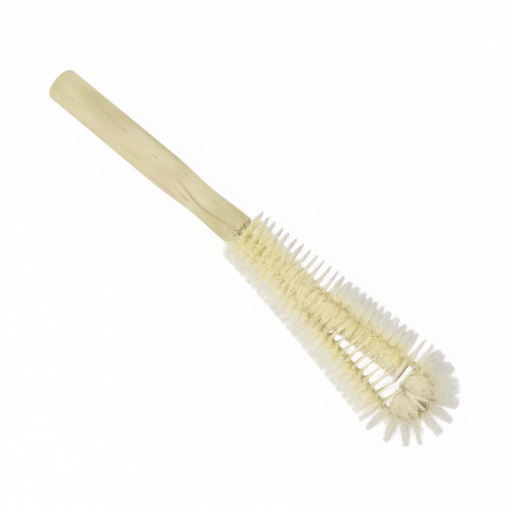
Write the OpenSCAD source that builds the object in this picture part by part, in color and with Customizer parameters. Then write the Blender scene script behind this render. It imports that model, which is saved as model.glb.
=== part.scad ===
// Bottle brush: a turned wooden handle and one long loop of twisted wire that holds the bristles.
// The brush lies on its side. The origin is the middle of the handle's butt end, X runs along
// the handle to the tip of the loop, and the loop lies level, in the XY plane. Millimetres.

/* [Handle] */
// Length of the wooden handle
handle_len = 164; // [150:1:180]
// Diameter of the straight rear part, which the hand holds
handle_d = 24; // [22:0.5:26]
// Length of that straight part, from the butt
grip_len = 96; // [80:1:100]
// Diameter at the narrowest place of the waist
waist_d = 20.8; // [19:0.1:22]
// Place of the narrowest part, from the butt
waist_x = 131; // [125:1:135]
// Diameter at the front end, where the wire goes in
front_d = 22.8; // [21:0.1:24]
// Rounding of the butt's edge
butt_round = 2.6; // [1:0.1:4]
// Rounding of the front end's edge
front_round = 1.8; // [0.5:0.1:3]

/* [Wire] */
// Thickness of one strand of the twisted wire
strand_d = 1.8; // [1.6:0.1:1.9]
// Length of wire for one full turn of the twist
twist_pitch = 11.65; // [10:0.05:13]
// Radius of the bend at the tip, at the middle of the twisted pair
bend_r = 17; // [16:0.5:19]
// Depth of the hole that holds both ends of the wire
hole_depth = 38; // [25:1:50]

/* [Head] */
// Length of the bristled loop, from the handle's front end to the bristle ends at the tip
head_len = 184.5; // [175:0.5:195]
// Diameter of the round of bristles on each side of the loop
bristle_d = 36; // [32:0.5:37]
// How far the middle of the tip's bend lies to one side of the handle's middle line
tip_offset = 11; // [0:0.5:12]
// Lean of leg A, the outer one, where it meets the bend, in degrees
lean_a = 14; // [8:1:16]
// Lean of leg B, the straighter one, where it meets the bend, in degrees
lean_b = 2; // [0:1:4]

/* [Hidden] */

bristle_r = bristle_d / 2;

// The two strands stand this far apart, with a row of bristles pinched between them.
strand_gap = 0.8;
strand_offset = (strand_d + strand_gap) / 2;
pair_r = strand_offset + strand_d / 2;
// Where the loop's two ends go into the handle side by side.
leg_apart = 2 * pair_r + 0.1;
hole_d = leg_apart + 2 * pair_r + 0.1;

// ---- The route of the twisted pair: up leg A, round the tip, back along leg B ----

tip_centre = [handle_len + head_len - bend_r - bristle_r, -tip_offset];
start_a = [handle_len, -leg_apart / 2];
start_b = [handle_len, leg_apart / 2];
join_a = tip_centre + bend_r * [-sin(lean_a), -cos(lean_a)];
join_b = tip_centre + bend_r * [-sin(lean_b), cos(lean_b)];

function bezier(p, t) =
    pow(1 - t, 3) * p[0] + 3 * pow(1 - t, 2) * t * p[1]
    + 3 * (1 - t) * t * t * p[2] + pow(t, 3) * p[3];

// Each leg leaves the handle straight and runs into the bend without a kink.
ease_out = 15;
ease_in = 40;
leg_a = [start_a, start_a + [ease_out, 0],
         join_a - ease_in * [cos(lean_a), -sin(lean_a)], join_a];
leg_b = [start_b, start_b + [ease_out, 0],
         join_b - ease_in * [cos(lean_b), sin(lean_b)], join_b];
bend_from = -90 - lean_a;
bend_to = 90 + lean_b;
leg_points = 70;
bend_points = 65;

route = concat(
    [start_a - [hole_depth, 0]],
    [for (i = [0 : leg_points]) bezier(leg_a, i / leg_points)],
    [for (i = [1 : bend_points - 1])
        let (a = bend_from + (bend_to - bend_from) * i / bend_points)
        tip_centre + bend_r * [cos(a), sin(a)]],
    [for (i = [leg_points : -1 : 0]) bezier(leg_b, i / leg_points)],
    [start_b - [hole_depth, 0]]);

// Length of wire from the route's first point to each of its points.
route_s = [for (i = 0, s = 0; i < len(route);
                s = s + (i + 1 < len(route) ? norm(route[i + 1] - route[i]) : 0), i = i + 1) s];
route_x = [for (i = [0 : len(route) - 1]) [route_s[i], route[i].x]];
route_y = [for (i = [0 : len(route) - 1]) [route_s[i], route[i].y]];
route_len = route_s[len(route) - 1];

function at(s) = [lookup(s, route_x), lookup(s, route_y)];
function heading(s) =
    let (d = at(min(s + 1.5, route_len)) - at(max(s - 1.5, 0))) atan2(d.y, d.x);

// A point r away from the wire's middle line at length s: 0 degrees is towards the inside of
// the loop, 90 degrees is up.
function around(s, r, angle) =
    let (h = heading(s), c = at(s))
    [c.x - r * cos(angle) * sin(h), c.y + r * cos(angle) * cos(h), r * sin(angle)];

// ---- The twist ----

first_bristle = 0.4;
bristle_from = hole_depth + first_bristle;
bristle_len = route_len - 2 * bristle_from;
steps_per_turn = 13;
step_count = round(bristle_len / (twist_pitch / steps_per_turn));
step_len = bristle_len / step_count;
turn_per_mm = 360 / (steps_per_turn * step_len);
start_angle = 35;
// The twist isn't quite even: it drags behind where the wire was bent round, and runs ahead on
// the legs. Each pair is a length of wire from the start of the bristles, and the lag there.
twist_lag = [[0, -1.5], [135, -1.5], [165, 0.8], [225, 1.5], [245, 0.5], [270, -0.9], [290, -2]];
function twist(s) =
    let (along = s - bristle_from) start_angle + turn_per_mm * (along - lookup(along, twist_lag));

// A closed skin over rings of points, each ring with the same number of points, with flat ends.
// Rings follow one another along the wire, and the points of a ring run anticlockwise.
module skin(rings) {
    n = len(rings[0]);
    last = len(rings) - 1;
    polyhedron(
        points = [for (ring = rings) for (p = ring) p],
        faces = concat(
            [[for (j = [0 : n - 1]) j]],
            [[for (j = [n - 1 : -1 : 0]) last * n + j]],
            [for (i = [0 : last - 1]) for (j = [0 : n - 1])
                let (k = (j + 1) % n)
                [i * n + j, (i + 1) * n + j, i * n + k]],
            [for (i = [0 : last - 1]) for (j = [0 : n - 1])
                let (k = (j + 1) % n)
                [i * n + k, (i + 1) * n + j, (i + 1) * n + k]]),
        convexity = 20);
}

// ---- Handle ----

waist_r = waist_d / 2;
front_r = front_d / 2;
handle_r = handle_d / 2;
front_full_x = handle_len - front_round - 2;
// Radius of the handle between the grip and the front end: down to the waist and up again.
function waist_profile(x) =
    x < waist_x
    ? waist_r + (handle_r - waist_r) * (1 + cos(180 * (x - grip_len) / (waist_x - grip_len))) / 2
    : waist_r + (front_r - waist_r) * (1 - cos(180 * (x - waist_x) / (front_full_x - waist_x))) / 2;

module handle() {
    outline = concat(
        [[0, 0]],
        [for (a = [0 : 15 : 90])
            [handle_r - butt_round * (1 - sin(a)), butt_round * (1 - cos(a))]],
        [for (i = [0 : 20])
            let (x = grip_len + (front_full_x - grip_len) * i / 20) [waist_profile(x), x]],
        [for (a = [0 : 18 : 90])
            [front_r - front_round * (1 - cos(a)), handle_len - front_round * (1 - sin(a))]],
        [[hole_d / 2, handle_len], [hole_d / 2, handle_len - hole_depth],
         [0, handle_len - hole_depth]]);
    color("burlywood")
        rotate([0, 90, 0])
            rotate_extrude($fn = 96)
                polygon(outline);
}

// ---- Wire ----

// One strand, wound round its twin. Side 1 or -1 says on which side of the pair it starts.
strand_sides = 6;
strand_steps = 6;
module strand(side) {
    count = ceil(route_len / (twist_pitch / strand_steps));
    rings = [for (i = [0 : count])
        let (s = route_len * i / count, a = twist(s) + side * 90)
        [for (j = [0 : strand_sides - 1])
            let (b = 360 * j / strand_sides,
                 u = strand_offset + strand_d / 2 * cos(b),
                 v = strand_d / 2 * sin(b))
            around(s, norm([u, v]), a + atan2(v, u))]];
    skin(rings);
}

module wire_strand_a() {
    color("silver") strand(1);
}

module wire_strand_b() {
    color("darkgray") strand(-1);
}

// ---- Bristles ----

// A row of bristles is a fin that stands out on both sides of the wire. It is thin between the
// strands and spreads from just outside them. Half its spread at the edge is given in degrees,
// where it lies level and where it stands upright: above and below, a row fans out further.
row_half = strand_gap / 2 - 0.2;
spread_from = 1;
root_r = norm([spread_from, row_half]);
root_spread = atan(row_half / spread_from);
// A fin stops just short of the full round, which only single bristles reach.
edge_r = 0.987 * bristle_r;
level_spread = 27;
upright_spread = 56;

// One half of a fin's section as [distance, angle] pairs, if it points at this angle.
function fin_half(angle) =
    let (edge = level_spread + (upright_spread - level_spread) * pow(sin(angle), 2))
    [[row_half, angle - 90], [root_r, angle - root_spread],
     for (k = [-1, -1 / 3, 1 / 3, 1]) [edge_r, angle + edge * k],
     [root_r, angle + root_spread]];

// Bristles of one leg stop short of the line half way between the two legs, and those of the
// bend stop short of its middle.
half_way = (tip_centre - [handle_len, 0]) / norm(tip_centre - [handle_len, 0]);
half_way_normal = [-half_way.y, half_way.x];
leg_clearance = 0.25;
bend_clearance = 0.8;
function room_inside(s) =
    let (h = heading(s), inward = [-sin(h), cos(h)],
         away = abs((at(s) - tip_centre) * half_way_normal),
         slope = abs(inward * half_way_normal),
         on_leg = at(s).x < tip_centre.x - bend_r * sin(lean_a))
    min(bend_r - bend_clearance, on_leg ? away / slope - leg_clearance : bend_r);

function fin_ring(s) =
    let (room = room_inside(s), a = twist(s))
    [for (p = concat(fin_half(a), fin_half(a + 180)))
        let (inward = cos(p[1]), r = inward > 0.02 ? min(p[0], room / inward) : p[0])
        around(s, r, p[1])];

module bristles(first, last) {
    skin([for (i = [first : last]) fin_ring(bristle_from + i * step_len)]);
}

leg_a_steps = round((route_s[leg_points + 1] - bristle_from) / step_len);
leg_b_steps = round((route_len - bristle_from - route_s[leg_points + bend_points + 1]) / step_len);

module bristles_leg_a() {
    color("cornsilk") bristles(0, leg_a_steps);
}

module bristles_tip() {
    color("ivory") bristles(leg_a_steps, step_count - leg_b_steps);
}

module bristles_leg_b() {
    color("cornsilk") bristles(step_count - leg_b_steps, step_count);
}

handle();
wire_strand_a();
wire_strand_b();
bristles_leg_a();
bristles_tip();
bristles_leg_b();
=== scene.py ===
"""Bottle brush: a turned wooden handle and a loop of twisted wire filled with pale bristles.

It lies on its side on a pale floor, as it comes to rest. Everything is in metres, in the
frame of the CAD model: X runs along the handle to the tip of the loop, and Z is up.
"""

import math

import bmesh
import bpy
import numpy as np
from mathutils import Matrix, Vector


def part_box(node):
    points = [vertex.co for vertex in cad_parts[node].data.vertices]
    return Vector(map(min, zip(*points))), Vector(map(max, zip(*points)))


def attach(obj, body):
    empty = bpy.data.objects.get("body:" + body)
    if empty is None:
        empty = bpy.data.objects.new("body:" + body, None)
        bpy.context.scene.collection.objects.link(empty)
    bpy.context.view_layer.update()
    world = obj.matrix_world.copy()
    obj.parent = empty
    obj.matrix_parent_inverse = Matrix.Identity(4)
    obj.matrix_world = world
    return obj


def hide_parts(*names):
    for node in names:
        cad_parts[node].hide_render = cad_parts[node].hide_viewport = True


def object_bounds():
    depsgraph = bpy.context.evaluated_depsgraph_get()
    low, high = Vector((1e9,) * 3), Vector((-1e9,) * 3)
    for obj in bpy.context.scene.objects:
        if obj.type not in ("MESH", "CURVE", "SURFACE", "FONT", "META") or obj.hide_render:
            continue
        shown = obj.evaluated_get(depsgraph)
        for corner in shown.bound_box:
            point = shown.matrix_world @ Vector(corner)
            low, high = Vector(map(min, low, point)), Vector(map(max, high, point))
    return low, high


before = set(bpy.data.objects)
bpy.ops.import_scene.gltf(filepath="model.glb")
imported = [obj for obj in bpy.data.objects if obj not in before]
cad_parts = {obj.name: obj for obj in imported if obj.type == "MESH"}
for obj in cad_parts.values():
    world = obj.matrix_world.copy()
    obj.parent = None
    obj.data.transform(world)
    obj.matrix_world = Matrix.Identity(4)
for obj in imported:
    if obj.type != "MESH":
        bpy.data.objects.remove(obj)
cad_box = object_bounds()
scene = bpy.context.scene
scene.view_settings.view_transform = "Standard"
mm = 0.001

# ---- Camera ----
# It looks down on the brush from a metre up, a little from the side of the loop, and is turned
# so that the brush runs from the upper left of the frame to the lower right.
camera_target = Vector((0.1816, -0.0054, 0))
camera_distance = 0.985
camera_tilt = math.radians(11.31)
camera_azimuth = math.radians(-3.8)
camera_roll = math.radians(-46.357)
camera_back = Vector((
    math.sin(camera_tilt) * math.cos(camera_azimuth),
    math.sin(camera_tilt) * math.sin(camera_azimuth),
    math.cos(camera_tilt)))
camera = bpy.data.objects.new("camera", bpy.data.cameras.new("camera"))
camera.data.lens = 105.415
camera.data.sensor_width = 36
camera.matrix_world = (
    Matrix.Translation(camera_target + camera_distance * camera_back)
    @ camera_back.to_track_quat("Z", "Y").to_matrix().to_4x4()
    @ Matrix.Rotation(camera_roll, 4, "Z"))
scene.collection.objects.link(camera)
scene.camera = camera

# ---- Handle ----
# One piece of light, straight-grained hardwood, turned on a lathe to a plain cylinder with a
# slight waist near the front, sanded and left unpainted. A hole bored into its front end takes
# both ends of the wire.
handle_low, handle_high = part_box("handle")
handle_len = handle_high[0] - handle_low[0]
handle_r = (handle_high[2] - handle_low[2]) / 2
grip_len = 96 * mm
waist_r = 10.4 * mm
waist_x = 131 * mm
front_r = 11.4 * mm
butt_round = 2.6 * mm
front_round = 1.8 * mm
hole_r = 4.5 * mm
hole_depth = 38 * mm
# The waist has swollen to the front's full radius this far before the rounded rim.
front_land = 2 * mm
front_full_x = handle_len - front_round - front_land


def waist_profile(x):
    """Radius of the handle between the grip and the front end."""
    if x < waist_x:
        swing = (1 + math.cos(math.pi * (x - grip_len) / (waist_x - grip_len))) / 2
        return waist_r + (handle_r - waist_r) * swing
    swing = (1 - math.cos(math.pi * (x - waist_x) / (front_full_x - waist_x))) / 2
    return waist_r + (front_r - waist_r) * swing


def new_piece(name, mesh, stands_for):
    """A piece of the brush that stands for CAD nodes, which are hidden."""
    piece = bpy.data.objects.new(name, mesh)
    scene.collection.objects.link(piece)
    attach(piece, "root")
    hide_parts(*stands_for)
    return piece


round_steps = 8
waist_steps = 40
turned_steps = 160
quarter_turn = [math.radians(90 * step / round_steps) for step in range(round_steps + 1)]
profile = [(0, 0)]
for turn in quarter_turn:
    profile.append((butt_round * (1 - math.cos(turn)), handle_r - butt_round * (1 - math.sin(turn))))
for step in range(waist_steps + 1):
    x = grip_len + (front_full_x - grip_len) * step / waist_steps
    profile.append((x, waist_profile(x)))
for turn in quarter_turn:
    profile.append((handle_len - front_round * (1 - math.sin(turn)),
                    front_r - front_round * (1 - math.cos(turn))))
profile += [(handle_len, hole_r), (handle_len - hole_depth, hole_r), (handle_len - hole_depth, 0)]

work = bmesh.new()
points = [work.verts.new((x, 0, r)) for x, r in profile]
edges = [work.edges.new(pair) for pair in zip(points, points[1:])]
bmesh.ops.spin(work, geom=points + edges, cent=(0, 0, 0), axis=(1, 0, 0), dvec=(0, 0, 0),
               angle=2 * math.pi, steps=turned_steps, use_merge=True, use_duplicate=False)
bmesh.ops.remove_doubles(work, verts=work.verts, dist=0.001 * mm)
bmesh.ops.recalc_face_normals(work, faces=work.faces)
handle_mesh = bpy.data.meshes.new("handle")
work.to_mesh(handle_mesh)
work.free()
handle_mesh.shade_smooth()
handle_mesh.set_sharp_from_angle(angle=math.radians(40))
new_piece("wooden_handle", handle_mesh, ["handle"])


def put(tree, kind, inputs=None, **settings):
    """A new node with its settings, and its sockets linked or given their values."""
    made = tree.nodes.new(kind)
    for name, value in settings.items():
        setattr(made, name, value)
    for socket, value in (inputs or {}).items():
        if isinstance(value, bpy.types.NodeSocket):
            tree.links.new(value, made.inputs[socket])
        else:
            made.inputs[socket].default_value = value
    return made


def sums(tree, operation, *values):
    """The output of a Math node on these values."""
    return put(tree, "ShaderNodeMath", dict(enumerate(values)), operation=operation).outputs[0]


def paint(tree, blend_type, amount, under, over):
    """The colour of one layer laid over another: a Mix node's colours are its sockets 6 and 7."""
    mix = put(tree, "ShaderNodeMix", {0: amount, 6: under, 7: over},
              data_type="RGBA", blend_type=blend_type)
    return mix.outputs[2]


def srgb(red, green, blue):
    """A linear colour from its screen values, 0 to 255."""
    return tuple(((c / 255 + 0.055) / 1.055) ** 2.4 for c in (red, green, blue)) + (1,)


def ramp(tree, value, *stops):
    """A colour ramp over a value; each stop is a place and a colour."""
    made = put(tree, "ShaderNodeValToRGB", {"Fac": value})
    made.color_ramp.elements[0].position, made.color_ramp.elements[0].color = stops[0]
    made.color_ramp.elements[1].position, made.color_ramp.elements[1].color = stops[-1]
    for place, colour in stops[1:-1]:
        made.color_ramp.elements.new(place).color = colour
    return made.outputs[0]


def span(tree, value, low, high, to_low=0.0, to_high=1.0, smooth=True):
    """A value carried from one range to another, and held at its ends."""
    return put(tree, "ShaderNodeMapRange",
               {"Value": value, "From Min": low, "From Max": high, "To Min": to_low, "To Max": to_high},
               interpolation_type="SMOOTHSTEP" if smooth else "LINEAR").outputs[0]


def noise(tree, place, scale, detail, distortion=0.0):
    """A cloudy value, about 0.5, that changes from place to place."""
    return put(tree, "ShaderNodeTexNoise",
               {"Vector": place, "Scale": scale, "Detail": detail, "Distortion": distortion}).outputs[0]


def stretched(tree, place, scale, detail):
    """Noise whose grains are drawn out by a different scale along each axis."""
    mapped = put(tree, "ShaderNodeMapping", {"Vector": place, "Scale": scale}).outputs[0]
    return noise(tree, mapped, 1.0, detail)


def new_material(name):
    """A material with nodes, its tree and its shader."""
    made = bpy.data.materials.new(name)
    made.use_nodes = True
    return made, made.node_tree, made.node_tree.nodes["Principled BSDF"]


wood, tree, shader = new_material("turned_hardwood")
place = put(tree, "ShaderNodeTexCoord").outputs["Object"]
along, across, height = put(tree, "ShaderNodeSeparateXYZ", {"Vector": place}).outputs

# Growth rings about a pith that lies outside the handle: straight lines on the round sides,
# arcs on both ends.
pith = Vector((0, 21 * mm, -34 * mm))
wobble = put(tree, "ShaderNodeTexNoise", {"Vector": place, "Scale": 22.0, "Detail": 2.0}).outputs["Color"]
sway = put(tree, "ShaderNodeVectorMath", {"Vector": wobble, "Scale": 6 * mm}, operation="SCALE").outputs[0]
bent_place = put(tree, "ShaderNodeVectorMath", {0: place, 1: sway}, operation="ADD").outputs[0]
from_pith = put(tree, "ShaderNodeMapping",
                {"Vector": bent_place, "Location": -pith, "Scale": (0.16, 1, 1)}).outputs[0]
growth_rings = put(tree, "ShaderNodeTexWave",
                   {"Vector": from_pith, "Scale": 95.0, "Distortion": 1.2, "Detail": 3.0,
                    "Detail Scale": 1.4},
                   wave_type="RINGS", rings_direction="X").outputs["Fac"]
late_wood = span(tree, growth_rings, 0.52, 0.95)
fibres = stretched(tree, place, (34, 900, 900), detail=4.0)
fine_fibres = stretched(tree, place, (90, 2600, 2600), detail=2.0)
pores = span(tree, stretched(tree, place, (130, 2300, 2300), detail=1.0), 0.66, 0.74)
mottle = noise(tree, place, 30.0, detail=2.0)
broad = stretched(tree, place, (26, 60, 60), detail=1.0)

pale_wood = srgb(212, 203, 162)
colour = ramp(tree, broad, (0.34, srgb(201, 193, 146)), (0.5, pale_wood), (0.66, srgb(221, 212, 176)))
colour = paint(tree, "MIX", span(tree, mottle, 0.5, 0.72, 0, 0.55), colour, srgb(216, 198, 166))
colour = paint(tree, "MULTIPLY", sums(tree, "MULTIPLY", late_wood, 0.1), colour, srgb(236, 224, 200))
colour = paint(tree, "MULTIPLY", span(tree, fibres, 0.46, 0.68, 0, 0.12), colour, srgb(232, 222, 204))
colour = paint(tree, "MULTIPLY", span(tree, fine_fibres, 0.5, 0.7, 0, 0.12), colour, srgb(236, 228, 214))
colour = paint(tree, "MULTIPLY", sums(tree, "MULTIPLY", pores, 0.4), colour, srgb(206, 188, 150))

upper_side = span(tree, height, 0.5 * mm, 3 * mm)
waver = stretched(tree, place, (110, 60, 60), detail=3.0)
waver = span(tree, waver, 0, 1, -1, 1, smooth=False)


def grain_mark(from_x, to_x, line, half_width, wander, body=4.0):
    """Where one mark of the grain shows: a line along the upper side, given as evenly spaced
    distances to one side of the middle, in millimetres, and fading at both ends."""
    low, high = min(line) - 1, max(line) + 1
    way = span(tree, along, from_x * mm, to_x * mm, smooth=False)
    curve = put(tree, "ShaderNodeFloatCurve", {"Value": way})
    dots = curve.mapping.curves[0].points
    dots[0].location = (0, (line[0] - low) / (high - low))
    dots[1].location = (1, (line[-1] - low) / (high - low))
    for number, side in enumerate(line[1:-1], 1):
        dots.new(number / (len(line) - 1), (side - low) / (high - low))
    curve.mapping.update()
    middle = span(tree, curve.outputs[0], 0, 1, low * mm, high * mm, smooth=False)
    middle = sums(tree, "MULTIPLY_ADD", waver, wander * mm, middle)
    off = sums(tree, "DIVIDE", sums(tree, "SUBTRACT", across, middle), half_width * mm)
    near = sums(tree, "EXPONENT", sums(tree, "MULTIPLY", sums(tree, "MULTIPLY", off, off), -1.0))
    from_middle = sums(tree, "MULTIPLY_ADD", way, 2.0, -1.0)
    fade = sums(tree, "SUBTRACT", 1.0, sums(tree, "POWER", sums(tree, "ABSOLUTE", from_middle), body))
    return sums(tree, "MULTIPLY", sums(tree, "MULTIPLY", near, fade), upper_side)


# The marks of this handle's grain: a long brown streak that sinks into the waist, and the short
# flecks and hair lines around it.
streak_brown = srgb(176, 150, 104)
line_brown = srgb(158, 134, 94)
long_streak = grain_mark(106, 164, [0.4, -0.6, -2.0, -3.3, -3.8, -3.5, -2.7, -1.8, -1.0], 0.42, 0.6)
marks = [
    (long_streak, 0.6, line_brown),
    (grain_mark(114, 146, [-1.0, -2.0, -3.3, -4.2, -4.6], 1.3, 0.5, body=2.0), 0.36, streak_brown),
    (grain_mark(116, 126, [-6.0, -6.1, -6.3], 0.6, 0.3, body=2.0), 0.55, line_brown),
    (grain_mark(109, 119, [-4.2, -5.2, -6.6], 0.3, 0.6, body=2.0), 0.3, line_brown),
    (grain_mark(28, 52, [5.0, 4.6, 4.1, 3.6], 0.32, 0.4), 0.4, line_brown),
    (grain_mark(57, 62.5, [2.9, 2.7], 0.35, 0.2, body=2.0), 0.5, line_brown),
    (grain_mark(72, 78, [2.6, 2.4], 0.3, 0.3, body=2.0), 0.2, line_brown),
    (grain_mark(86, 91.5, [2.1, 1.9], 0.35, 0.2, body=2.0), 0.5, line_brown),
    (grain_mark(136, 145, [4.5, 4.8, 5.1], 0.3, 0.4), 0.35, line_brown),
    (grain_mark(88, 114, [-9.8, -9.3, -8.7], 0.4, 0.4), 0.4, line_brown),
    (grain_mark(64, 84, [-6.0, -6.6, -6.4], 0.5, 0.6), 0.16, line_brown),
    (grain_mark(14, 34, [-3.2, -2.7, -2.9], 0.4, 0.6), 0.15, line_brown),
]
for mask, strength, tone in marks:
    colour = paint(tree, "MIX", sums(tree, "MULTIPLY", mask, strength), colour, tone)
pale_pore = sums(tree, "MULTIPLY", grain_mark(132.5, 136, [-3.4, -3.4], 0.35, 0.1, body=2.0), 0.6)
colour = paint(tree, "MIX", pale_pore, colour, srgb(236, 226, 196))

# Thin olive lines over the front rim are painted shadow of the bristles that lie across it.
curls = noise(tree, place, 520.0, detail=2.0, distortion=0.6)
curls = sums(tree, "ABSOLUTE", sums(tree, "SUBTRACT", curls, 0.5))
curls = span(tree, curls, 0.012, 0.035, 1, 0)
near_front = span(tree, along, handle_len - 9 * mm, handle_len - 5 * mm)
one_side = sums(tree, "MULTIPLY", span(tree, across, -10 * mm, -7.5 * mm),
                span(tree, across, 2 * mm, -1 * mm))
painted_bristle_shadow = sums(tree, "MULTIPLY", sums(tree, "MULTIPLY", curls, near_front), one_side)
painted_bristle_shadow = sums(tree, "MULTIPLY", sums(tree, "MULTIPLY", painted_bristle_shadow, upper_side), 0.65)
colour = paint(tree, "MIX", painted_bristle_shadow, colour, srgb(150, 140, 88))

# End grain drinks in more light than the sides do, most of all in its open pores.
butt_end = span(tree, along, 0.5 * mm, 0.05 * mm)
front_end = span(tree, along, handle_len - 0.5 * mm, handle_len - 0.05 * mm)
end_grain = sums(tree, "MAXIMUM", butt_end, front_end)
end_pores = put(tree, "ShaderNodeTexVoronoi",
                {"Vector": place, "Scale": 1500.0, "Randomness": 1.0}).outputs["Distance"]
colour = paint(tree, "MULTIPLY", sums(tree, "MULTIPLY", end_grain, 0.55), colour, srgb(214, 194, 158))
open_pores = sums(tree, "MULTIPLY", end_grain, span(tree, end_pores, 0.45, 0.2, 0, 0.4))
colour = paint(tree, "MULTIPLY", open_pores, colour, srgb(190, 164, 120))
tree.links.new(colour, shader.inputs["Base Color"])

relief = sums(tree, "ADD", sums(tree, "MULTIPLY", fine_fibres, 0.6), sums(tree, "MULTIPLY", fibres, 0.5))
relief = sums(tree, "SUBTRACT", relief, sums(tree, "MULTIPLY", pores, 0.8))
relief = sums(tree, "SUBTRACT", relief, sums(tree, "MULTIPLY", long_streak, 0.5))
relief = sums(tree, "SUBTRACT", relief, sums(tree, "MULTIPLY", end_grain, end_pores))
bump = put(tree, "ShaderNodeBump", {"Strength": 0.3, "Distance": 0.08 * mm, "Height": relief})
tree.links.new(bump.outputs[0], shader.inputs["Normal"])
tree.links.new(span(tree, fibres, 0.3, 0.7, 0.52, 0.68), shader.inputs["Roughness"])
shader.inputs["Specular IOR Level"].default_value = 0.35
handle_mesh.materials.append(wood)

# ---- Twisted wire ----
# Two strands of dull galvanised steel wire, laid side by side, twisted together over the
# bristles and bent round into one long loop. Both ends are pushed and glued into the handle.
strand_r = 0.9 * mm
strand_gap = 0.8 * mm
strand_offset = strand_r + strand_gap / 2
pair_r = strand_offset + strand_r
twist_pitch = 11.65 * mm
leg_apart = 2 * pair_r + 0.1 * mm
bend_r = 17 * mm
bristle_r = 18 * mm
head_len = 184.5 * mm
tip_centre = np.array([handle_len + head_len - bend_r - bristle_r, -11 * mm])
lean_a = math.radians(14)
lean_b = math.radians(2)
ease_out = 15 * mm
ease_in = 40 * mm


def bezier(points, count=400):
    """Points along a cubic curve."""
    t = np.linspace(0, 1, count)[:, None]
    a, b, c, d = (np.array(p) for p in points)
    return (1 - t) ** 3 * a + 3 * (1 - t) ** 2 * t * b + 3 * (1 - t) * t ** 2 * c + t ** 3 * d


start_a = np.array([handle_len, -leg_apart / 2])
start_b = np.array([handle_len, leg_apart / 2])
join_a = tip_centre - bend_r * np.array([math.sin(lean_a), math.cos(lean_a)])
join_b = tip_centre - bend_r * np.array([math.sin(lean_b), -math.cos(lean_b)])
into_hole = np.array([hole_depth, 0])
out_of_handle = np.array([ease_out, 0])
leg_a = bezier([start_a, start_a + out_of_handle,
                join_a - ease_in * np.array([math.cos(lean_a), -math.sin(lean_a)]), join_a])
leg_b = bezier([start_b, start_b + out_of_handle,
                join_b - ease_in * np.array([math.cos(lean_b), math.sin(lean_b)]), join_b])
turns = np.linspace(-math.pi / 2 - lean_a, math.pi / 2 + lean_b, 300)
bend = tip_centre + bend_r * np.stack([np.cos(turns), np.sin(turns)], axis=1)
route = np.concatenate([[start_a - into_hole], leg_a, bend[1:-1], leg_b[::-1], [start_b - into_hole]])
route_s = np.concatenate([[0], np.cumsum(np.linalg.norm(np.diff(route, axis=0), axis=1))])
route_len = route_s[-1]
bend_from = route_s[len(leg_a)]
bend_to = route_s[len(leg_a) + len(bend) - 1]


def at(s):
    """The pair's middle line at a length s of wire."""
    s = np.clip(s, 0, route_len)
    return np.stack([np.interp(s, route_s, route[:, 0]), np.interp(s, route_s, route[:, 1]),
                     np.zeros_like(s)], axis=-1)


def directions(s):
    """Along the wire, towards the inside of the loop, and up."""
    ahead = at(s + 1.5 * mm) - at(s - 1.5 * mm)
    ahead /= np.linalg.norm(ahead, axis=-1, keepdims=True)
    inward = np.stack([-ahead[..., 1], ahead[..., 0], np.zeros_like(s)], axis=-1)
    return ahead, inward, np.array([0, 0, 1.0])


# The twist runs at a steady rate, but drags where the wire was bent and runs ahead on the legs.
bristle_from = hole_depth + 0.4 * mm
bristle_len = route_len - 2 * bristle_from
steps_per_turn = 13
step_count = round(bristle_len / (twist_pitch / steps_per_turn))
step_len = bristle_len / step_count
turn_rate = 2 * math.pi / (steps_per_turn * step_len)
start_angle = math.radians(35)
lag_places = np.array([0, 135, 165, 225, 245, 270, 290]) * mm
lag_amounts = np.array([-1.5, -1.5, 0.8, 1.5, 0.5, -0.9, -2]) * mm


def twist(s):
    """Angle of the row of bristles at a length s: 0 is towards the inside, 90 degrees is up."""
    run = s - bristle_from
    return start_angle + turn_rate * (run - np.interp(run, lag_places, lag_amounts))


steel, tree, shader = new_material("galvanised_steel")
place = put(tree, "ShaderNodeTexCoord").outputs["Object"]
zinc = noise(tree, place, 700.0, detail=4.0)
smears = noise(tree, place, 160.0, detail=2.0)
# The zinc is painted paler and warmer than its own grey, as painted light from the bristles around it.
colour = ramp(tree, zinc, (0.3, srgb(222, 214, 194)), (0.7, srgb(238, 232, 216)))
colour = paint(tree, "MIX", span(tree, smears, 0.5, 0.7, 0, 0.6), colour, srgb(210, 200, 174))
tree.links.new(colour, shader.inputs["Base Color"])
tree.links.new(span(tree, zinc, 0.3, 0.7, 0.38, 0.6), shader.inputs["Roughness"])
shader.inputs["Metallic"].default_value = 0.3
bump = put(tree, "ShaderNodeBump", {"Strength": 0.4, "Distance": 0.05 * mm, "Height": zinc})
tree.links.new(bump.outputs[0], shader.inputs["Normal"])

points_per_turn = 18
strand_s = np.linspace(0, route_len, round(route_len / twist_pitch * points_per_turn))
ahead, inward, up = directions(strand_s)
for letter, side in (("a", 1), ("b", -1)):
    angle = (twist(strand_s) + side * math.pi / 2)[:, None]
    path = at(strand_s) + strand_offset * (np.cos(angle) * inward + np.sin(angle) * up)
    curve = bpy.data.curves.new("strand", "CURVE")
    curve.dimensions = "3D"
    curve.bevel_depth = strand_r
    curve.bevel_resolution = 3
    curve.use_fill_caps = True
    spline = curve.splines.new("POLY")
    spline.points.add(len(path) - 1)
    spline.points.foreach_set("co", np.column_stack([path, np.ones(len(path))]).ravel())
    drawn = bpy.data.objects.new("drawn_strand", curve)
    strand_mesh = bpy.data.meshes.new_from_object(drawn)
    bpy.data.objects.remove(drawn)
    strand_mesh.name = f"wire_strand_{letter}"
    strand_mesh.shade_smooth()
    strand_mesh.materials.clear()
    strand_mesh.materials.append(steel)
    new_piece(f"twisted_wire_{letter}", strand_mesh, [f"wire_strand_{letter}"])

# ---- Bristles ----
# Thousands of springy nylon filaments, each a straight hair that is pinched at its middle
# between the two strands and sticks out on both sides. The twist turns the row into a screw.
filament_r = 0.14 * mm
# Half the thickness of the row where it is pinched.
row_half = 0.25 * mm
# Filaments to a metre of wire, on the legs and round the tip, where they stand closer.
leg_filaments = 40000
tip_filaments = 80000
rng = np.random.default_rng(41)

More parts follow.
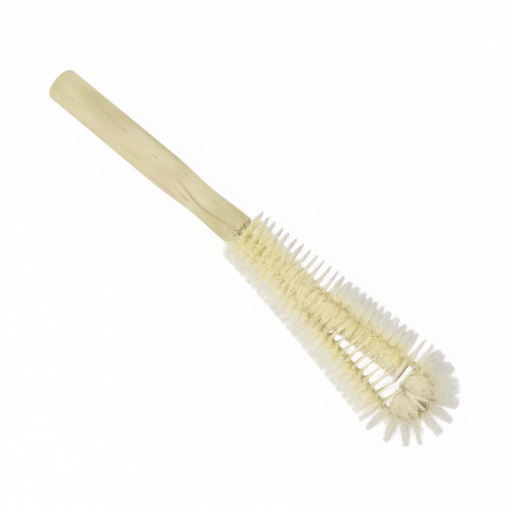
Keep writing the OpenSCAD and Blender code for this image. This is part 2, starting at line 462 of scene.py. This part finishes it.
bristle, tree, shader = new_material("pale_bristle")
reach = put(tree, "ShaderNodeAttribute", attribute_name="reach").outputs["Fac"]
tint = put(tree, "ShaderNodeAttribute", attribute_name="tint").outputs["Fac"]
place = put(tree, "ShaderNodeTexCoord").outputs["Object"]
# The nylon is pale yellow of its own. The deeper yellow at the roots and among crowded filaments is
# painted shade, and the paler free tips are painted light.
colour = ramp(tree, reach,
              (0.0, (1.0, 0.976, 0.735, 1)),
              (0.14, (1.0, 0.982, 0.805, 1)),
              (0.3, (1.0, 0.987, 0.88, 1)),
              (0.55, (1.0, 0.989, 0.935, 1)),
              (0.8, (0.965, 0.96, 0.92, 1)),
              (1.0, (0.875, 0.873, 0.865, 1)))
# Crowded ones near the wire are stained in soft olive patches.
patches = noise(tree, place, 240.0, detail=2.0)
stain = sums(tree, "MULTIPLY", span(tree, patches, 0.5, 0.64, 0, 0.55),
             span(tree, reach, 0.1, 0.36, 1, 0))
colour = paint(tree, "MULTIPLY", stain, colour, (0.965, 0.985, 0.74, 1))
# Some filaments are a little duller than others, in streaks.
streaks = noise(tree, place, 900.0, detail=2.0)
duller = sums(tree, "MULTIPLY", span(tree, tint, 0, 1, 1, 0, smooth=False),
              span(tree, streaks, 0.3, 0.7))
colour = paint(tree, "MULTIPLY", sums(tree, "MULTIPLY", duller, 0.12), colour, (0.94, 0.91, 0.84, 1))
tree.links.new(colour, shader.inputs["Base Color"])
tree.links.new(span(tree, streaks, 0.3, 0.7, 0.4, 0.55), shader.inputs["Roughness"])
shader.inputs["Specular IOR Level"].default_value = 0.15
# Light goes from bristle to bristle many times before it comes out, which makes them so bright.
scene.cycles.diffuse_bounces = 48
scene.cycles.glossy_bounces = 16
scene.cycles.max_bounces = 64

# A filament is three-sided. It has a ring of corners at each tip, at each of two knees where it
# bends, and on both sides of the strands, and it is thinner towards its tips.
filament_sides = 3
ring_widths = np.array([0.65, 0.87, 1, 1, 0.87, 0.65])
filament_rings = len(ring_widths)


def filament_bundle(count, step):
    """A mesh of this many straight filaments, one behind the other."""
    work = bmesh.new()
    bmesh.ops.create_cone(work, cap_ends=True, cap_tris=False, segments=filament_sides,
                          radius1=filament_r, radius2=filament_r, depth=2 * bristle_r)
    uprights = [e for e in work.edges if abs(e.verts[0].co.z - e.verts[1].co.z) > bristle_r]
    bmesh.ops.subdivide_edges(work, edges=uprights, cuts=filament_rings - 2, use_grid_fill=False)
    one = bpy.data.meshes.new("filament")
    work.to_mesh(one)
    work.free()
    drawn = bpy.data.objects.new("filament", one)
    scene.collection.objects.link(drawn)
    repeat = drawn.modifiers.new("row", "ARRAY")
    repeat.count = count
    repeat.use_relative_offset = False
    repeat.use_constant_offset = True
    repeat.constant_offset_displace = (step, 0, 0)
    ready = drawn.evaluated_get(bpy.context.evaluated_depsgraph_get())
    mesh = bpy.data.meshes.new_from_object(ready)
    bpy.data.objects.remove(drawn)
    bpy.data.meshes.remove(one)
    return mesh


def smooth_noise(s, grain, size):
    """Random values that change gently along the wire, over lengths of this grain."""
    knots = np.arange(-1, bristle_len / grain + 2)
    return np.interp(s, bristle_from + knots * grain, rng.normal(0, size, len(knots)))


# How much a place belongs to the bend: 0 on the legs and 1 round the tip, with a run between.
bend_run = 6 * mm
bend_places = [bend_from - bend_run, bend_from + bend_run, bend_to - bend_run, bend_to + bend_run]
bend_amounts = [0, 1, 1, 0]
# How far filaments stand to each side of their row, by the length of wire from the first one.
bushy_places = np.array([0, 125, 150, 170, 190, 200, 360]) * mm + bristle_from
bushy_amounts = np.array([2.4, 2.4, 2.6, 3.0, 3.2, 2.4, 2.4]) * mm
# How much they pass over and under one another where they meet inside the loop, and by how many
# millimetres at the most and the least.
crossing_places = np.array([139, 151, 204, 228, 250, 280]) * mm + bristle_from
crossing_amounts = [0, 1, 1, 1.6, 1.6, 0]
crossing_lift = (2, 18)
# How much shorter those of leg B are where leg A's slats press against them.
worn_places = np.array([217, 224, 262, 276]) * mm + bristle_from
worn_amounts = [0, 0.16, 0.16, 0]
# Slopes at which those next to the handle lean back over its front rim, by how far they are
# from it.
rim_places = np.array([0, 5, 10]) * mm
rim_slopes = np.array([1, 4, 0]) * mm / front_r
# Filaments are cut this far short of the full round, and unevenly: each for itself, and
# together with its neighbours.
cut_short = 0.2 * mm
cut_uneven = 0.35 * mm
cut_together = 0.12 * mm
# The share of a filament's length at which it comes out from between the strands, and how thick
# the row is there against its full thickness, which it has from a further share on.
root_share = 0.1
root_thickness = 0.35
full_share = 0.6
# At the strands a row springs apart, in millimetres, and more so where it stands upright.
flare_level = 0.2
flare_upright = 3.5
# A tuft is drawn together less next to the strands than at its knee and its tip.
pull_shares = np.array([[0.4], [1], [1]])
# Strays are few, and lean by about this slope.
stray_share = 0.01
stray_slope = 0.12
# Painted shade and light in the filaments' paleness: what crowding takes from it as painted shade, how
# much of that a tuft keeps, what is left of it in the painted shadow over the rim, and what leg B's outer
# side and the bend add as painted light.
crowding_painted_shade = 0.62
tuft_keeps = 0.85
paleness_in_rim_shadow = 0.15
leg_b_painted_light = 0.4
bend_painted_light = 0.18
half_turn = twist_pitch / 2
# How the row lies, zone by zone, on each side of the wire. A zone has its start and end, in
# millimetres of wire from the first filament, and the share of a filament's length at which it
# bends. Then come slopes, for how far the row splays along the wire at that knee, at the tips,
# and where it stands upright, and for how much each half turn leans its own way. The last two
# say how thick the row is, and how much of each half turn is gathered into a tuft.
columns = ["start", "end", "knee", "knee_splay", "tip_splay", "upright_splay", "sway", "thick",
           "gathered"]
outward_zones = [
    # One smooth band along leg A.
    (0, 50, 0.6, 0.13, 0.13, 0.09, 0.02, 1, 0),
    (70, 138, 0.6, 0.13, 0.13, 0.13, 0.02, 1, 0),
    # Separate fingers where the bend begins, and a wider one.
    (147, 174, 0.5, 0.1, 0.085, 0.32, 0.07, 1, 0.95),
    (177, 179, 0.5, 0.19, 0.17, 0.32, 0.02, 1, 0.9),
    # A wide band with blunt teeth, and its narrow start.
    (184, 184.5, 0.6, 0.2, 0.13, 0.4, 0.02, 1, 0.5),
    (190, 206, 0.75, 0.36, 0.2, 0.42, 0.04, 1, 0),
    # A few thin fingers.
    (210, 218, 0.5, 0.07, 0.04, 0.2, 0.02, 1, 0.6),
    # A band with a pointed edge, from the bend to the middle of leg B.
    (224, 280, 0.7, 0.25, 0.06, 0.2, 0.06, 1, 0),
    # Thin spindles as far as the handle.
    (288, 360, 0.55, 0.032, 0.012, 0.06, 0.03, 0.7, 0.2),
]
inward_zones = [
    # Tangled along leg A's first half.
    (0, 50, 0.6, 0.2, 0.2, 0.1, 0.02, 1, 0),
    (58, 80, 0.6, 0.2, 0.2, 0.2, 0.02, 1, 0),
    # Thin slats, with clear gaps between them.
    (95, 133, 0.3, 0.02, 0.03, 0.02, 0.02, 0.4, 0.4),
    (138, 149, 0.3, 0.02, 0.02, 0.02, 0.02, 0.4, 0.6),
    # A crowded mass inside the bend, with one opening.
    (154, 169, 0.6, 0.5, 0.5, 0.36, 0.02, 1, 0),
    (172, 184, 0.6, 0.05, 0.05, 0.05, 0.02, 0.6, 0),
    (188, 206, 0.6, 0.5, 0.5, 0.26, 0.02, 1, 0),
    # Slats again where leg B begins, and tangled from there on.
    (210, 215.5, 0.3, 0.03, 0.02, 0.04, 0.02, 0.4, 1),
    (222, 360, 0.6, 0.25, 0.25, 0.2, 0.02, 1, 0),
]


def zone_value(s, level, name):
    """One column of the zones, for filaments that point out of the loop or into it."""
    values = []
    for zones in (outward_zones, inward_zones):
        edges = [bristle_from + edge * mm for zone in zones for edge in zone[:2]]
        column = [zone[columns.index(name)] for zone in zones for edge in zone[:2]]
        values.append(np.interp(s, edges, column))
    return np.where(level < 0, *values)


def from_handle(s):
    """Length of wire between a place and the nearer end of the bristles."""
    return np.minimum(s - bristle_from, bristle_from + bristle_len - s)


def filament_length(s, level):
    """How far filaments reach: cut a little unevenly, singly and together, and worn on leg B."""
    singly = np.abs(rng.normal(0, cut_uneven, len(s)))
    together = smooth_noise(s, 2.5 * mm, cut_together).clip(-0.3 * mm, cut_short)
    worn = level.clip(0, 1) * np.interp(s, worn_places, worn_amounts)
    return (bristle_r - cut_short - singly + together) * (1 - worn)


def off_row(s, level, share):
    """How far filaments stand to one side of their row, singly and together."""
    singly = rng.normal(0, 1, len(s)).clip(-2.2, 2.2) * np.interp(s, bushy_places, bushy_amounts)
    together = smooth_noise(s, 1.1 * mm, 0.7 * mm)
    widening = np.interp(share, [root_share, full_share], [root_thickness, 1])
    return (singly + together) * zone_value(s, level, "thick") * widening


def splay_along(s, level, steep, length, share):
    """How far filaments lie along the wire from where they are pinched. A row splays, each
    stretch of it leans its own way, a few filaments stray, and it springs apart at the strands
    where it stands upright."""
    count = len(s)
    rank = rng.uniform(-1, 1, count)
    upright = zone_value(s, level, "upright_splay")
    knee_splay = zone_value(s, level, "knee_splay")
    splay = np.stack([knee_splay, knee_splay, zone_value(s, level, "tip_splay")])
    splay = splay * (1 + smooth_noise(s, half_turn, 0.3)).clip(0.5, 1.6)
    splay = rank * (splay * (1 - steep) + upright * steep)
    sway = smooth_noise(s, 1.6 * mm, 0.012)
    sway = sway + smooth_noise(s, half_turn, 1) * zone_value(s, level, "sway")
    sway = sway + (rng.uniform(0, 1, count) < stray_share) * rng.normal(0, stray_slope, count)
    flare = rng.normal(0, 1, count).clip(-2, 2) * (flare_level + flare_upright * upright * steep) * mm
    return (splay + sway) * length * share + flare * np.interp(share, [root_share, 1], [1, 0.3])


def tuft_pull(angle, level, in_bend, gathered, share):
    """How far half a turn that is gathered is drawn along the wire, to its level filaments."""
    side = np.sign(level)
    off_level = np.arctan2(side * np.sin(angle), side * level) / turn_rate
    spread_by_bend = 1 - level * in_bend * share * bristle_r / bend_r
    return off_level * gathered * spread_by_bend * pull_shares


def rim_lean(s, angle, level, steep):
    """The slope of filaments that lean back over the handle's rim: all of leg A's, the outer
    ones least, and those of leg B that stand up."""
    leg_a_way = 0.7 * (-level).clip(0, 1) - 1
    leg_b_way = steep * (np.sin(angle) > 0)
    lean = np.interp(from_handle(s), rim_places, rim_slopes)
    return lean * np.where(s < route_len / 2, leg_a_way, leg_b_way) * rng.uniform(0, 1, len(s)) ** 4


def paleness(s, level, in_bend, gathered, rim, share):
    """How pale filaments are painted, which is painted shade and light more than the nylon's own colour.
    Those crowded between the legs are painted in shade, yellow to their tips, and most of all near the
    handle and over its rim, where it stands for their shadow. Those in a tuft, in the bend and on leg B's
    outer side are painted lighter."""
    crowded = (0.5 + 0.9 * level).clip(0, 1) * np.interp(from_handle(s), [0, 50 * mm], [1.35, 1])
    # Crowded filaments are painted in shade, those over the rim most; tufts, leg B's outer side and the
    # bend are painted lighter.
    pale = 1 - crowding_painted_shade * crowded * (1 - tuft_keeps * gathered)
    pale = pale * np.where(np.abs(rim) > 0.1, paleness_in_rim_shadow, 1)
    outer_painted_light = np.where(s < route_len / 2, 0, leg_b_painted_light) * (1 - in_bend) * (-level).clip(0, 1)
    pale = share * pale * (1 + outer_painted_light)
    return (pale + bend_painted_light * in_bend).clip(0, 1)


def lie(s, angle):
    """Where filaments at each length s are, if they point at this angle: next to the strands, at
    the knee and at the tip. It gives the distance out from the wire, to one side of the row,
    along the wire and up, and how pale they are there."""
    count = len(s)
    # Level filaments point into the loop at 1 and out of it at -1, and steep ones stand upright.
    level = np.cos(angle)
    steep = np.abs(np.sin(angle)) ** 7
    in_bend = np.interp(s, bend_places, bend_amounts)
    # Upright filaments stay out of the tufts.
    gathered = zone_value(s, level, "gathered") * np.minimum(1, 8 * np.abs(level))
    share = np.stack([np.full(count, root_share), zone_value(s, level, "knee"), np.ones(count)])
    length = filament_length(s, level)
    aside = off_row(s, level, share)
    along = splay_along(s, level, steep, length, share)
    along = along - tuft_pull(angle, level, in_bend, gathered, share)
    rim = rim_lean(s, angle, level, steep)
    along = along + rim * length * share
    # Inside the bend and next to it they are crowded, so they pass over and under one another.
    crossing = level.clip(0, 1) * np.interp(s, crossing_places, crossing_amounts)
    crossing = crossing * zone_value(s, level, "knee_splay")
    lift = rng.choice([-1, 1], count) * rng.uniform(*crossing_lift, count) * mm
    lift = lift * crossing * share ** 2
    return length * share, aside, along, lift, paleness(s, level, in_bend, gathered, rim, share)


def lay_bristles(mesh, first_s, last_s):
    """Moves the filaments of a bundle to their places along the wire, between two lengths."""
    per_filament = filament_rings * filament_sides
    count = len(mesh.vertices) // per_filament
    s = np.linspace(first_s, last_s, count + 1)[:-1]
    s = s + rng.uniform(0, (last_s - first_s) / count, count)
    base = np.empty(len(mesh.vertices) * 3)
    mesh.vertices.foreach_get("co", base)
    base = base.reshape(count, per_filament, 3)[0]
    # Each point's ring, and its place round the filament.
    ring_heights = np.linspace(-1, 1, filament_rings) * bristle_r
    ring = np.searchsorted(ring_heights - 0.001 * mm, base[:, 2]) - 1
    round_x, round_y = base[:, 0], base[:, 1]

    ahead, inward, up = directions(s)
    row = twist(s)
    outward = np.cos(row)[:, None] * inward + np.sin(row)[:, None] * up
    sideways = -np.sin(row)[:, None] * inward + np.cos(row)[:, None] * up
    shift = rng.uniform(-row_half, row_half, count)
    spun = rng.uniform(0, 2 * math.pi, count)
    places = np.empty((count, filament_rings, 3))
    pale_rings = np.empty((count, filament_rings))
    # The rings of both halves, from the strands outwards.
    for side, numbers in ((-1, (2, 1, 0)), (1, (3, 4, 5))):
        half = lie(s, row if side > 0 else row + math.pi)
        for number, out, aside, along, lift, pale in zip(numbers, *half):
            spoke = ((side * out)[:, None] * outward + (shift + aside)[:, None] * sideways
                     + along[:, None] * ahead + lift[:, None] * up)
            far = np.linalg.norm(spoke, axis=1)
            places[:, number] = at(s) + spoke * (out / far)[:, None]
            pale_rings[:, number] = pale
    turned_x = round_x[None] * np.cos(spun)[:, None] - round_y[None] * np.sin(spun)[:, None]
    turned_y = round_x[None] * np.sin(spun)[:, None] + round_y[None] * np.cos(spun)[:, None]
    moved = (places[:, ring]
             + (turned_x * ring_widths[ring])[..., None] * ahead[:, None]
             + (turned_y * ring_widths[ring])[..., None] * sideways[:, None])
    mesh.vertices.foreach_set("co", moved.ravel())
    reach_values = pale_rings[:, ring].ravel()
    tint_values = np.repeat(rng.uniform(0, 1, count), per_filament)
    for name, values in (("reach", reach_values), ("tint", tint_values)):
        mesh.attributes.new(name, "FLOAT", "POINT").data.foreach_set("value", values)
    mesh.update()


leg_a_steps = round((bend_from - bristle_from) / step_len)
leg_b_steps = round((route_len - bristle_from - bend_to) / step_len)
tip_from = bristle_from + leg_a_steps * step_len
tip_to = bristle_from + (step_count - leg_b_steps) * step_len
stretches = [("leg_a", bristle_from, tip_from, leg_filaments),
             ("tip", tip_from, tip_to, tip_filaments),
             ("leg_b", tip_to, bristle_from + bristle_len, leg_filaments)]
for name, first_s, last_s, per_metre in stretches:
    bundle = filament_bundle(round((last_s - first_s) * per_metre), 1 / per_metre)
    lay_bristles(bundle, first_s, last_s)
    bundle.materials.append(bristle)
    new_piece(f"bristles_on_{name}", bundle, [f"bristles_{name}"])

# ---- Floor and light ----
# A plain pale floor that the brush lies on, a large soft lamp high on one side, and a fainter
# one opposite it.
floor_z = cad_box[0][2] - 0.1 * mm
floor_half = 3.0
work = bmesh.new()
bmesh.ops.create_grid(work, x_segments=8, y_segments=8, size=floor_half)
bmesh.ops.translate(work, verts=work.verts, vec=(0.17, 0, floor_z))
floor_mesh = bpy.data.meshes.new("floor")
work.to_mesh(floor_mesh)
work.free()
floor = bpy.data.objects.new("floor", floor_mesh)
scene.collection.objects.link(floor)
pale, tree, shader = new_material("pale_floor")
place = put(tree, "ShaderNodeTexCoord").outputs["Object"]
paper = noise(tree, place, 60.0, detail=3.0)
tree.links.new(ramp(tree, paper, (0.3, (0.86, 0.86, 0.86, 1)), (0.7, (0.89, 0.89, 0.89, 1))),
               shader.inputs["Base Color"])
shader.inputs["Roughness"].default_value = 0.9
shader.inputs["Specular IOR Level"].default_value = 0.1
# To the eye the floor is nearly plain white, and it keeps the brush's shadow.
seen = put(tree, "ShaderNodeLightPath").outputs["Is Camera Ray"]
white = put(tree, "ShaderNodeEmission", {"Color": (1, 1, 1, 1), "Strength": 1.0})
mix = put(tree, "ShaderNodeMixShader", {0: sums(tree, "MULTIPLY", seen, 0.93),
                                        1: shader.outputs[0], 2: white.outputs[0]})
tree.links.new(mix.outputs[0], tree.nodes["Material Output"].inputs[0])
floor_mesh.materials.append(pale)

world = bpy.data.worlds.new("studio")
world.use_nodes = True
scene.world = world
tree = world.node_tree
tree.nodes.clear()
# The brush is lit by a soft room, but the eye and bright surfaces see a white backdrop.
paths = put(tree, "ShaderNodeLightPath").outputs
shown = sums(tree, "MAXIMUM", sums(tree, "MAXIMUM", paths["Is Camera Ray"], paths["Is Glossy Ray"]),
             paths["Is Transmission Ray"])
room = put(tree, "ShaderNodeBackground", {"Color": (1, 0.995, 0.985, 1), "Strength": 0.87})
backdrop = put(tree, "ShaderNodeBackground", {"Color": (1, 1, 1, 1), "Strength": 1.0})
mix = put(tree, "ShaderNodeMixShader", {0: shown, 1: room.outputs[0], 2: backdrop.outputs[0]})
put(tree, "ShaderNodeOutputWorld", {"Surface": mix.outputs[0]})

brush_middle = Vector((0.18, -0.005, 0))
lamps = [("key", (-0.15, -0.85, 1.05), 1.1, 3.2), ("fill", (0.5, 0.9, 0.9), 1.2, 1.5)]
for name, lamp_place, size, power in lamps:
    light = bpy.data.lights.new(name, "AREA")
    light.shape = "DISK"
    light.size = size
    light.energy = power
    lamp = bpy.data.objects.new(name, light)
    lamp.location = lamp_place
    lamp.rotation_euler = (brush_middle - lamp.location).to_track_quat("-Z", "Y").to_euler()
    scene.collection.objects.link(lamp)
